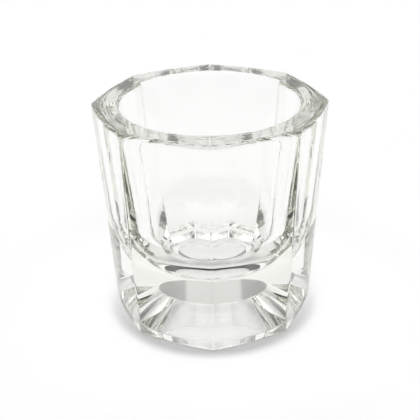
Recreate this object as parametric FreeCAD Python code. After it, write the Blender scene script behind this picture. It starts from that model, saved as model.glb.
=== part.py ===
import FreeCAD
import Part
import math
import os

# Small octagonal cup of thick pressed glass: a round-bottomed well in the top
# and a cone-shaped recess in the underside, all one moulded piece.
# Millimetres, +Z up.  The origin is the centre of the foot, on the plane that
# it stands on.  Two of the octagon's corners lie on X and two on Y.

# Outside
SIDES = 8
HEIGHT = 32.0
RIM_MID_SIDE = 15.71         # axis to the middle of a side, at the rim
FOOT_MID_SIDE = 14.12        # and at the foot
RIM_BOW_RADIUS = 46.7        # the sides bow outwards a little
FOOT_BOW_RADIUS = 41.3
CORNER_RADIUS = 1.0          # of the eight upright edges
RIM_ROUND = 0.55             # rim's outer rounding
HEEL_ROUND = 0.7             # foot's outer rounding

# Well
WELL_RIM_RADIUS = 12.5       # at the rim, before the mouth is rounded
WELL_FLOOR_RADIUS = 10.2     # where the wall's line meets the floor
WELL_FLOOR_Z = 8.0
WELL_BOWL_RADIUS = 9.0       # between wall and floor
MOUTH_ROUND = 0.6

# Recess in the underside: a cone with a flat top
RECESS_MOUTH_RADIUS = 10.8   # at the foot
RECESS_TOP_RADIUS = 5.6
RECESS_TOP_Z = 4.65
RECESS_TOP_ROUND = 0.4
FOOT_RING_ROUND = 0.5        # between the cone and the foot ring

OVERRUN = 4.0                # how far a cutter runs past the glass


def point(radius, angle, z):
    return FreeCAD.Vector(radius * math.cos(angle), radius * math.sin(angle), z)


def arc(centre, radius, start, end):
    """Level arc about a centre, between two angles."""
    ends = [centre + point(radius, angle, 0.0) for angle in (start, 0.5 * (start + end), end)]
    return Part.Arc(*ends).toShape()


def bowed_octagon(mid_side, bow_radius, z):
    """Eight bowed sides, each running smoothly into small corner arcs."""
    step = 2.0 * math.pi / SIDES
    offset = bow_radius - mid_side                 # a side's arc centre lies this far past the axis
    across = offset * math.sin(step / 2.0)
    along = math.sqrt((bow_radius - CORNER_RADIUS) ** 2 - across ** 2)
    corner = along - offset * math.cos(step / 2.0)
    half_turn = math.atan2(across, along)          # half of the angle that a corner arc turns
    edges = []
    for side in range(SIDES):
        angle = side * step
        middle = angle + step / 2.0
        edges.append(arc(point(corner, angle, z), CORNER_RADIUS, angle - half_turn, angle + half_turn))
        edges.append(arc(point(-offset, middle, z), bow_radius, angle + half_turn, angle + step - half_turn))
    return Part.Wire(edges)


def edges_at(shape, z):
    """Edges that lie wholly at height z."""
    return [edge for edge in shape.Edges
            if max(abs(edge.BoundBox.ZMin - z), abs(edge.BoundBox.ZMax - z)) < 1e-4]


def circles_at(shape, z, radius):
    """Full circles of one radius at height z."""
    return [edge for edge in edges_at(shape, z)
            if isinstance(edge.Curve, Part.Circle) and abs(edge.Curve.Radius - radius) < 1e-3]


def turned(points):
    """Solid swept about Z by a closed outline of (radius, z) points."""
    corners = [FreeCAD.Vector(radius, 0.0, z) for radius, z in points]
    face = Part.Face(Part.makePolygon(corners + corners[:1]))
    return face.revolve(FreeCAD.Vector(0, 0, 0), FreeCAD.Vector(0, 0, 1), 360.0)


def outer_body():
    foot = bowed_octagon(FOOT_MID_SIDE, FOOT_BOW_RADIUS, 0.0)
    rim = bowed_octagon(RIM_MID_SIDE, RIM_BOW_RADIUS, HEIGHT)
    body = Part.makeLoft([foot, rim], True, True)
    body = body.makeFillet(RIM_ROUND, edges_at(body, HEIGHT))
    return body.makeFillet(HEEL_ROUND, edges_at(body, 0.0))


def well():
    """What the pressing plunger leaves: a tapered wall and a bowl-shaped floor."""
    taper = (WELL_RIM_RADIUS - WELL_FLOOR_RADIUS) / (HEIGHT - WELL_FLOOR_Z)
    top = HEIGHT + OVERRUN
    cutter = turned([(0.0, WELL_FLOOR_Z), (WELL_FLOOR_RADIUS, WELL_FLOOR_Z),
                     (WELL_RIM_RADIUS + OVERRUN * taper, top), (0.0, top)])
    return cutter.makeFillet(WELL_BOWL_RADIUS, edges_at(cutter, WELL_FLOOR_Z))


def recess():
    flare = (RECESS_MOUTH_RADIUS - RECESS_TOP_RADIUS) / RECESS_TOP_Z
    cutter = turned([(0.0, -OVERRUN), (RECESS_MOUTH_RADIUS + OVERRUN * flare, -OVERRUN),
                     (RECESS_TOP_RADIUS, RECESS_TOP_Z), (0.0, RECESS_TOP_Z)])
    return cutter.makeFillet(RECESS_TOP_ROUND, edges_at(cutter, RECESS_TOP_Z))


glass = outer_body().cut(well()).cut(recess())
glass = glass.makeFillet(MOUTH_ROUND, circles_at(glass, HEIGHT, WELL_RIM_RADIUS))
glass = glass.makeFillet(FOOT_RING_ROUND, circles_at(glass, 0.0, RECESS_MOUTH_RADIUS))

os.makedirs("parts", exist_ok=True)
glass.exportStep("parts/glass_dish.step")
print("glass_dish: valid", glass.isValid(), "solids", len(glass.Solids), "faces", len(glass.Faces))
print("volume mm3", round(glass.Volume, 1), glass.BoundBox)
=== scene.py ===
import math
import bpy
from mathutils import Matrix, Vector


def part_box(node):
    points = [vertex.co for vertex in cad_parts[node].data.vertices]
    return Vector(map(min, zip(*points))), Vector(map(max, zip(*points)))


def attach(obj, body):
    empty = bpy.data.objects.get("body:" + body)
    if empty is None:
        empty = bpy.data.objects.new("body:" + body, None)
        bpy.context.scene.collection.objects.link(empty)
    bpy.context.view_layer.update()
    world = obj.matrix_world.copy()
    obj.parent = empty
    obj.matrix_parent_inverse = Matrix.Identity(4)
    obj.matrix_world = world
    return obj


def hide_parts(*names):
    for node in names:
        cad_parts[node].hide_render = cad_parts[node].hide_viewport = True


# A small octagonal cup of thick pressed glass on a pale floor in soft light.
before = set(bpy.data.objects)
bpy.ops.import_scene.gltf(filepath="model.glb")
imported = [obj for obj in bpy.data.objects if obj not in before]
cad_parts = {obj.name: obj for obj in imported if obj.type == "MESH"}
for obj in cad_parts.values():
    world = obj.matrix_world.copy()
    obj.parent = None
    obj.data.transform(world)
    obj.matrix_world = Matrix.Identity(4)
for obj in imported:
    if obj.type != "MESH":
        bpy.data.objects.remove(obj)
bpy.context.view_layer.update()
low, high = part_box("glass_dish")

# Lengths are in millimetres, as in the part, unless a comment says otherwise.
# MM turns them into the frame's metres, and AXIS is the middle of the foot.
HEIGHT = 32.0
MM = (high[2] - low[2]) / HEIGHT
AXIS = Vector(((low[0] + high[0]) / 2.0, (low[1] + high[1]) / 2.0, low[2]))

# Outside.  Two of the octagon's corners lie on X and two on Y.
SIDES = 8
RIM_MID_SIDE = 15.71         # axis to the middle of a side, at the rim
FOOT_MID_SIDE = 14.12        # and at the foot
RIM_BOW_RADIUS = 46.7        # the sides bow outwards a little
FOOT_BOW_RADIUS = 41.3
CORNER_RADIUS = 1.0          # of the eight upright edges
RIM_ROUND = 0.55             # rim's outer rounding
HEEL_ROUND = 0.7             # foot's outer rounding

# Well
WELL_RIM_RADIUS = 12.5       # at the rim, before the mouth is rounded
WELL_FLOOR_RADIUS = 10.2     # where the wall's line meets the floor
WELL_FLOOR_Z = 8.0
WELL_BOWL_RADIUS = 9.0       # between wall and floor
MOUTH_ROUND = 0.6

# Recess in the underside: a cone with a flat top
RECESS_MOUTH_RADIUS = 10.8   # at the foot
RECESS_TOP_RADIUS = 5.6
RECESS_TOP_Z = 4.65
RECESS_TOP_ROUND = 0.4
FOOT_RING_ROUND = 0.5        # between the cone and the foot ring

# How finely the mesh is divided
CORNER_STEPS = 8
SIDE_STEPS = 24
WALL_STEPS = 16              # up the outside, the well and the recess
ROUND_STEPS = 8
BOWL_STEPS = 32
WELL_FLOOR_STEPS = 8
RECESS_TOP_STEPS = 12
FOOT_RING_STEPS = 6
RIM_FLAT_STEPS = 5
LEVEL_RUN = 3.0              # of a level line that only gives a rounding its direction


# ---------------------------------------------------------------- mesh
def eased(steps):
    """Fractions from 0 to 1, closer together near both ends."""
    return [0.5 - 0.5 * math.cos(math.pi * step / steps) for step in range(steps + 1)]


def turn(vector, angle):
    cosine, sine = math.cos(angle), math.sin(angle)
    return Vector((vector.x * cosine - vector.y * sine, vector.x * sine + vector.y * cosine))


def bowed_octagon(mid_side, bow_radius):
    """Points of the outline with their outward normals, anticlockwise from the corner on +X."""
    step = 2.0 * math.pi / SIDES
    offset = bow_radius - mid_side                 # a side's arc centre lies this far past the axis
    across = offset * math.sin(step / 2.0)
    along = math.sqrt((bow_radius - CORNER_RADIUS) ** 2 - across ** 2)
    corner = along - offset * math.cos(step / 2.0)
    half_turn = math.atan2(across, along)          # half of the angle that a corner arc turns
    points = []
    for side in range(SIDES):
        angle = side * step
        centre = corner * Vector((math.cos(angle), math.sin(angle)))
        for index in range(CORNER_STEPS):
            bearing = angle + half_turn * (2.0 * index / CORNER_STEPS - 1.0)
            normal = Vector((math.cos(bearing), math.sin(bearing)))
            points.append((centre + CORNER_RADIUS * normal, normal))
        middle = angle + step / 2.0
        centre = -offset * Vector((math.cos(middle), math.sin(middle)))
        for share in eased(SIDE_STEPS)[:-1]:
            bearing = angle + half_turn + (step - 2.0 * half_turn) * share
            normal = Vector((math.cos(bearing), math.sin(bearing)))
            points.append((centre + bow_radius * normal, normal))
    return points


def rounded_path(corners, line_steps):
    """Points (radius, z) along straight lines that meet in rounded corners.

    A corner is (radius, z, rounding, steps round it), and a rounding of 0 leaves it sharp.
    """
    runs = []
    for index, (radius, z, rounding, arc_steps) in enumerate(corners):
        here = Vector((radius, z))
        if rounding == 0.0:
            runs.append([here])
            continue
        back = (Vector(corners[index - 1][:2]) - here).normalized()
        ahead = (Vector(corners[index + 1][:2]) - here).normalized()
        opening = math.acos(max(-1.0, min(1.0, back.dot(ahead))))
        start = here + back * rounding / math.tan(opening / 2.0)
        centre = here + (back + ahead).normalized() * rounding / math.sin(opening / 2.0)
        spoke = start - centre
        way = 1.0 if back.x * ahead.y - back.y * ahead.x < 0.0 else -1.0
        runs.append([centre + turn(spoke, way * (math.pi - opening) * share / arc_steps)
                     for share in range(arc_steps + 1)])
    path = list(runs[0])
    for run, steps in zip(runs[1:], line_steps):
        start, end = path[-1], run[0]
        path += [start.lerp(end, share) for share in eased(steps)[1:-1]]
        path += run
    return path


def recess_path():
    """Underside, from the axis out to the foot ring."""
    corners = [(0.0, RECESS_TOP_Z, 0.0, 0),
               (RECESS_TOP_RADIUS, RECESS_TOP_Z, RECESS_TOP_ROUND, ROUND_STEPS),
               (RECESS_MOUTH_RADIUS, 0.0, FOOT_RING_ROUND, ROUND_STEPS),
               (RECESS_MOUTH_RADIUS + LEVEL_RUN, 0.0, 0.0, 0)]
    return rounded_path(corners, [RECESS_TOP_STEPS, WALL_STEPS, 1])[:-1]


def well_path():
    """Well, from the rim's flat in to the axis."""
    corners = [(WELL_RIM_RADIUS + LEVEL_RUN, HEIGHT, 0.0, 0),
               (WELL_RIM_RADIUS, HEIGHT, MOUTH_ROUND, ROUND_STEPS),
               (WELL_FLOOR_RADIUS, WELL_FLOOR_Z, WELL_BOWL_RADIUS, BOWL_STEPS),
               (0.0, WELL_FLOOR_Z, 0.0, 0)]
    return rounded_path(corners, [1, WALL_STEPS, WELL_FLOOR_STEPS])[1:]


def wall_path(foot, foot_normal, rim, rim_normal):
    """Outside of the glass up one straight line of the wall, from the foot ring to the rim's flat."""
    lean = (rim - foot) / HEIGHT

    def rounding(normal, corner_z, radius):
        """Arc between the wall and the level face at corner_z."""
        slope = lean.dot(normal)
        middle_z = HEIGHT / 2.0
        corners = [(-LEVEL_RUN, corner_z, 0.0, 0), (0.0, corner_z, radius, ROUND_STEPS),
                   (slope * (middle_z - corner_z), middle_z, 0.0, 0)]
        arc = rounded_path(corners, [1, 1])[1:-1]
        return [(foot + lean * z + normal * (reach - slope * (z - corner_z))).to_3d()
                + Vector((0.0, 0.0, z)) for reach, z in arc]

    heel = rounding(foot_normal, 0.0, HEEL_ROUND)
    brim = rounding(rim_normal, HEIGHT, RIM_ROUND)[::-1]
    return heel + [heel[-1].lerp(brim[0], share) for share in eased(WALL_STEPS)[1:-1]] + brim


def ringed(path, angle):
    """Stand a (radius, z) path up at one angle about the axis."""
    return [Vector((radius * math.cos(angle), radius * math.sin(angle), z)) for radius, z in path]


def glass_mesh(name):
    """One closed skin: out along the underside, up the outside, in over the rim, down the well."""
    foot = bowed_octagon(FOOT_MID_SIDE, FOOT_BOW_RADIUS)
    rim = bowed_octagon(RIM_MID_SIDE, RIM_BOW_RADIUS)
    under, inside = recess_path(), well_path()
    columns = []
    for (foot_point, foot_normal), (rim_point, rim_normal) in zip(foot, rim):
        outside = wall_path(foot_point, foot_normal, rim_point, rim_normal)
        below = ringed(under, math.atan2(outside[0].y, outside[0].x))
        above = ringed(inside, math.atan2(outside[-1].y, outside[-1].x))
        foot_ring = [below[-1].lerp(outside[0], share) for share in eased(FOOT_RING_STEPS)[1:-1]]
        rim_flat = [outside[-1].lerp(above[0], share) for share in eased(RIM_FLAT_STEPS)[1:-1]]
        columns.append(below + foot_ring + outside + rim_flat + above)

    # The columns share their first and last points, which lie on the axis.
    rows = len(columns[0]) - 2
    vertices = [AXIS + MM * columns[0][0]]
    for column in columns:
        vertices += [AXIS + MM * place for place in column[1:-1]]
    vertices.append(AXIS + MM * columns[0][-1])
    faces = []
    for index in range(len(columns)):
        here = 1 + index * rows
        following = 1 + (index + 1) % len(columns) * rows
        faces.append((0, following, here))
        faces += [(here + row, following + row, following + row + 1, here + row + 1)
                  for row in range(rows - 1)]
        faces.append((here + rows - 1, following + rows - 1, len(vertices) - 1))
    mesh = bpy.data.meshes.new(name)
    mesh.from_pydata(vertices, [], faces)
    mesh.polygons.foreach_set("use_smooth", [True] * len(mesh.polygons))
    mesh.update()
    return mesh


# ---------------------------------------------------------------- shader nodes
WHITE = (1.0, 1.0, 1.0, 1.0)


class Graph:
    """Shader nodes of one material or world.

    Where a method takes a value, it is either a plain one or another node's output.
    """

    def __init__(self, owner):
        owner.use_nodes = True
        self.nodes, self.links = owner.node_tree.nodes, owner.node_tree.links

    def feed(self, socket, value):
        if isinstance(value, bpy.types.NodeSocket):
            self.links.new(value, socket)
        else:
            socket.default_value = value

    def coordinates(self, kind):
        return self.nodes.new("ShaderNodeTexCoord").outputs[kind]

    def math(self, operation, first, second=0.0):
        node = self.nodes.new("ShaderNodeMath")
        node.operation = operation
        self.feed(node.inputs[0], first)
        self.feed(node.inputs[1], second)
        return node.outputs[0]

    def vector(self, operation, first, second=(0.0, 0.0, 0.0), output="Vector"):
        node = self.nodes.new("ShaderNodeVectorMath")
        node.operation = operation
        self.feed(node.inputs[0], first)
        self.feed(node.inputs[1], second)
        return node.outputs[output]

    def split(self, vector):
        node = self.nodes.new("ShaderNodeSeparateXYZ")
        self.feed(node.inputs[0], vector)
        return node.outputs

    def join(self, x, y, z):
        node = self.nodes.new("ShaderNodeCombineXYZ")
        for socket, value in zip(node.inputs, (x, y, z)):
            self.feed(socket, value)
        return node.outputs[0]

    def remap(self, value, from_range, to_range, kind="SMOOTHSTEP"):
        node = self.nodes.new("ShaderNodeMapRange")
        node.interpolation_type = kind
        self.feed(node.inputs["Value"], value)
        ends = zip(("From Min", "From Max", "To Min", "To Max"), from_range + to_range)
        for name, end in ends:
            self.feed(node.inputs[name], end)
        return node.outputs[0]

    def noise(self, where, scale, detail):
        node = self.nodes.new("ShaderNodeTexNoise")
        self.feed(node.inputs["Scale"], scale)
        self.feed(node.inputs["Detail"], detail)
        self.feed(node.inputs["Vector"], where)
        return node.outputs["Fac"]

    def bump(self, height, distance):
        """A bump node, whose Normal input is still free."""
        node = self.nodes.new("ShaderNodeBump")
        self.feed(node.inputs["Strength"], 1.0)
        self.feed(node.inputs["Distance"], distance)
        self.feed(node.inputs["Height"], height)
        return node


# ---------------------------------------------------------------- glass
GLASS_IOR = 1.51
GLASS_TINT = (0.85, 0.865, 0.68, 1.0)
GLASS_DENSITY = 8.0                        # of the tint, per metre of glass

GLASS_DULLEST = 0.02                       # roughness inside a smear
SMEARS_PER_METRE = 260.0
SMEAR_RANGE = (0.35, 0.75)                 # noise at which a smear starts and is at its dullest
WAVES_PER_METRE = 420.0
WAVE_HEIGHT = 0.004

RIPPLES_PER_MM = 1.7                       # across the rim and down the side
RIPPLES_PER_RADIAN = 2.5                   # round the rim
RIPPLE_HEIGHT = 0.035
RIPPLE_FROM = 29.5                         # heights between which the ripples fade in
RIPPLE_TO = 31.0


def pressed_glass():
    """Clear, with the faint waviness and dulling of a pressed and fire-polished surface."""
    material = bpy.data.materials.new("pressed_glass")
    graph = Graph(material)
    shader = graph.nodes["Principled BSDF"]
    shader.inputs["Base Color"].default_value = WHITE
    shader.inputs["Transmission Weight"].default_value = 1.0
    shader.inputs["IOR"].default_value = GLASS_IOR
    where = graph.coordinates("Object")
    smears = graph.noise(where, SMEARS_PER_METRE, detail=3.0)
    dulling = graph.remap(smears, SMEAR_RANGE, (0.0, GLASS_DULLEST), "LINEAR")
    graph.feed(shader.inputs["Roughness"], dulling)
    waves = graph.bump(graph.noise(where, WAVES_PER_METRE, detail=1.0), WAVE_HEIGHT * MM)

    # Fine ripples that run round the rim, where the hot glass was polished.
    x, y, z = graph.split(where)
    radius_squared = graph.math("ADD", graph.math("MULTIPLY", x, x), graph.math("MULTIPLY", y, y))
    radius = graph.math("SQRT", radius_squared)
    bearing = graph.math("ARCTAN2", y, x)
    round_rim = graph.join(graph.math("MULTIPLY", radius, RIPPLES_PER_MM / MM),
                           graph.math("MULTIPLY", bearing, RIPPLES_PER_RADIAN),
                           graph.math("MULTIPLY", z, RIPPLES_PER_MM / MM))
    ripple = graph.noise(round_rim, 1.0, detail=2.0)
    near_rim = graph.remap(z, (low[2] + RIPPLE_FROM * MM, low[2] + RIPPLE_TO * MM), (0.0, 1.0))
    ripples = graph.bump(graph.math("MULTIPLY", ripple, near_rim), RIPPLE_HEIGHT * MM)
    graph.feed(ripples.inputs["Normal"], waves.outputs["Normal"])
    graph.feed(shader.inputs["Normal"], ripples.outputs["Normal"])

    tint = graph.nodes.new("ShaderNodeVolumeAbsorption")
    tint.inputs["Color"].default_value = GLASS_TINT
    tint.inputs["Density"].default_value = GLASS_DENSITY
    graph.feed(graph.nodes["Material Output"].inputs["Volume"], tint.outputs["Volume"])
    return material


dish = bpy.data.objects.new("glass_dish_skin", glass_mesh("glass_dish_skin"))
bpy.context.scene.collection.objects.link(dish)
dish.data.materials.append(pressed_glass())
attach(dish, "root")
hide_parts("glass_dish")

# ---------------------------------------------------------------- floor
FLOOR_HALF = 3000.0
FLOOR_GAP = 0.05                           # keeps the floor clear of the foot's own plane
FLOOR_COLOUR = 0.8
FLOOR_MOTTLE = 0.01                        # how far the colour strays either way
MOTTLES_PER_METRE = 60.0
MOTTLE_RANGE = (0.3, 0.7)                  # noise at the darkest and at the palest
FLOOR_ROUGHNESS = 0.7

# A painted pool of light: the floor's colour and glow are full in an oval that reaches from in front of
# the dish to well behind it.
PAINTED_POOL_CENTRE = Vector((0.0, 120.0, 0.0))
PAINTED_POOL_REACH = Vector((85.0, 155.0, 1.0))    # half of its width and depth
PAINTED_POOL_EDGE = (0.98, 1.5)                    # where its light fades, in shares of its reach
FLOOR_FAR_SHARE = 0.3                      # of the painted pool's colour and glow, beyond the oval

# Painted light: the floor glows a little, as a light table does, most strongly round the dish, where the
# extra glow lifts the dish's shadow.
GLOW_FROM = 20.0
GLOW_TO = 34.0
NEAR_GLOW = 0.54
FAR_GLOW = 0.46

# Painted shadow: a soft shadow painted in a ring under the foot, deepest in front and gone at the back
PAINTED_SHADE_DEPTH = 0.42
PAINTED_SHADE_INNER = 11.0                         # radii where it starts, is deepest and ends
PAINTED_SHADE_NEAR = 14.6
PAINTED_SHADE_FAR = 16.8
PAINTED_SHADE_FRONT = -14.0                        # y where it starts to fade, and where it is gone
PAINTED_SHADE_BACK = 8.0


def pale_floor():
    """Matt white in a painted pool of light, grey beyond it, very slightly mottled, with a painted shadow
    under the foot, and glowing a little as painted light.
    """
    material = bpy.data.materials.new("floor")
    graph = Graph(material)
    shader = graph.nodes["Principled BSDF"]
    shader.inputs["Roughness"].default_value = FLOOR_ROUGHNESS
    shader.inputs["Specular IOR Level"].default_value = 0.0
    shader.inputs["Emission Color"].default_value = WHITE
    where = graph.coordinates("Object")
    # Painted pool of light: the floor's colour and glow fade outside an oval.
    from_pool = graph.vector("SUBTRACT", where, AXIS + MM * PAINTED_POOL_CENTRE)
    from_pool = graph.vector("DIVIDE", from_pool, MM * PAINTED_POOL_REACH)
    reach = graph.vector("LENGTH", from_pool, output="Value")
    painted_light = graph.remap(reach, PAINTED_POOL_EDGE, (1.0, FLOOR_FAR_SHARE))

    # Painted shadow: a ring under the foot darkens the floor's colour and glow, most in front.
    from_foot = graph.vector("SUBTRACT", where, AXIS)
    away = graph.vector("LENGTH", from_foot, output="Value")
    backward = graph.vector("DOT_PRODUCT", from_foot, (0.0, 1.0, 0.0), output="Value")
    inside = graph.remap(away, (PAINTED_SHADE_INNER * MM, PAINTED_SHADE_NEAR * MM), (0.0, PAINTED_SHADE_DEPTH))
    outside = graph.remap(away, (PAINTED_SHADE_NEAR * MM, PAINTED_SHADE_FAR * MM), (1.0, 0.0))
    front = graph.remap(backward, (PAINTED_SHADE_FRONT * MM, PAINTED_SHADE_BACK * MM), (1.0, 0.0))
    painted_shade = graph.math("MULTIPLY", graph.math("MULTIPLY", inside, outside), front)
    painted_light = graph.math("MULTIPLY", painted_light, graph.math("SUBTRACT", 1.0, painted_shade))

    mottle = graph.remap(graph.noise(where, MOTTLES_PER_METRE, detail=2.0), MOTTLE_RANGE,
                         (FLOOR_COLOUR - FLOOR_MOTTLE, FLOOR_COLOUR + FLOOR_MOTTLE))
    tone = graph.math("MULTIPLY", painted_light, mottle)
    graph.feed(shader.inputs["Base Color"], graph.join(tone, tone, tone))
    # Painted light: the floor glows, a little more round the dish to lift its shadow.
    glow = graph.remap(away, (GLOW_FROM * MM, GLOW_TO * MM), (NEAR_GLOW, FAR_GLOW))
    graph.feed(shader.inputs["Emission Strength"], graph.math("MULTIPLY", painted_light, glow))
    return material


floor_mesh = bpy.data.meshes.new("floor")
floor_mesh.from_pydata(
    [AXIS + MM * Vector((x * FLOOR_HALF, y * FLOOR_HALF, -FLOOR_GAP))
     for x, y in ((-1, -1), (1, -1), (1, 1), (-1, 1))], [], [(0, 1, 2, 3)])
floor_mesh.materials.append(pale_floor())
floor = bpy.data.objects.new("floor", floor_mesh)
bpy.context.scene.collection.objects.link(floor)

# ---------------------------------------------------------------- light
# A plain soft studio.  Each row gives the sky's level at five heights, from the
# horizon to straight up, for one direction.  Between directions the rows blend.
SKY_STEPS = (0.0, 0.35, 0.6, 0.85, 1.0)    # sine of the elevation
SKY_BEHIND = (0.92, 0.95, 0.72, 0.85, 0.0)
SKY_FRONT = (0.0, 0.0, 0.0, 2.2, 0.0)
SKY_SIDES = (0.15, 0.18, 0.15, 1.05, 0.0)
SKY_OVERHEAD = (0.0, 0.0, 0.0, 0.0, 1.15)  # in every direction
SKY_BRIGHTEST = 3.0                        # a ramp's colours are shares of this
BEHIND_POWER = 5.0                         # the higher, the narrower the part of the sky
FRONT_POWER = 2.0
SIDES_POWER = 2.0
SHORTEST = 0.001                           # keeps the straight-up direction from a division by 0


def sky_level(graph, height, levels):
    ramp = graph.nodes.new("ShaderNodeValToRGB")
    graph.feed(ramp.inputs["Fac"], height)
    elements = ramp.color_ramp.elements
    while len(elements) < len(levels):
        elements.new(0.5)                  # anywhere, as each is placed below
    for element, step, level in zip(elements, SKY_STEPS, levels):
        share = level / SKY_BRIGHTEST
        element.position = step
        element.color = (share, share, share, 1.0)
    return ramp.outputs["Color"]


def soft_studio():
    world = bpy.data.worlds.new("soft_studio")
    graph = Graph(world)
    aside, depth, height = graph.split(graph.coordinates("Generated"))
    level_squared = graph.math("ADD", graph.math("MULTIPLY", aside, aside),
                               graph.math("MULTIPLY", depth, depth))
    level_length = graph.math("MAXIMUM", graph.math("SQRT", level_squared), SHORTEST)
    toward_back = graph.math("DIVIDE", depth, level_length)
    toward_side = graph.math("DIVIDE", aside, level_length)
    behind = graph.math("POWER", graph.math("MAXIMUM", toward_back, 0.0), BEHIND_POWER)
    front = graph.math("POWER", graph.math("MINIMUM", toward_back, 0.0), FRONT_POWER)
    sides = graph.math("POWER", toward_side, SIDES_POWER)
    total = sky_level(graph, height, SKY_OVERHEAD)
    for share, levels in ((behind, SKY_BEHIND), (front, SKY_FRONT), (sides, SKY_SIDES)):
        total = graph.math("ADD", total,
                           graph.math("MULTIPLY", share, sky_level(graph, height, levels)))
    background = graph.nodes["Background"]
    background.inputs["Color"].default_value = WHITE
    graph.feed(background.inputs["Strength"], graph.math("MULTIPLY", total, SKY_BRIGHTEST))
    return world


bpy.context.scene.world = soft_studio()

# ---------------------------------------------------------------- camera
CAMERA_AWAY = 3.8                          # in heights of the dish
CAMERA_TILT = math.radians(27.7)
CAMERA_ROLL = math.radians(-1.1)
CAMERA_AZIMUTH = math.radians(0.65)        # the dish is turned a hair from square on
CAMERA_AIM = Vector((-0.0078, 0.0, 0.4621))    # in heights, before the azimuth
SENSOR = 36.0
LENS = 70.37
CLIP_START = 0.001                         # metres

ahead = Vector((0.0, math.cos(CAMERA_TILT), -math.sin(CAMERA_TILT)))
level_right = Vector((1.0, 0.0, 0.0))
level_up = level_right.cross(ahead)
right = math.cos(CAMERA_ROLL) * level_right + math.sin(CAMERA_ROLL) * level_up
up = math.cos(CAMERA_ROLL) * level_up - math.sin(CAMERA_ROLL) * level_right
spin = Matrix.Rotation(CAMERA_AZIMUTH, 4, "Z")
place = AXIS + HEIGHT * MM * (spin @ (CAMERA_AIM - CAMERA_AWAY * ahead))
camera = bpy.data.objects.new("camera", bpy.data.cameras.new("camera"))
camera.matrix_world = Matrix.Translation(place) @ spin @ Matrix((right, up, -ahead)).transposed().to_4x4()
camera.data.sensor_width = SENSOR
camera.data.lens = LENS
camera.data.clip_start = CLIP_START
bpy.context.scene.collection.objects.link(camera)
bpy.context.scene.camera = camera

# Clear glass needs many bounces, and plain colours keep the floor white.
GLASS_BOUNCES = 32
GLOSSY_BOUNCES = 16
scene = bpy.context.scene
scene.view_settings.view_transform = "Standard"
scene.cycles.max_bounces = GLASS_BOUNCES
scene.cycles.transmission_bounces = GLASS_BOUNCES
scene.cycles.glossy_bounces = GLOSSY_BOUNCES
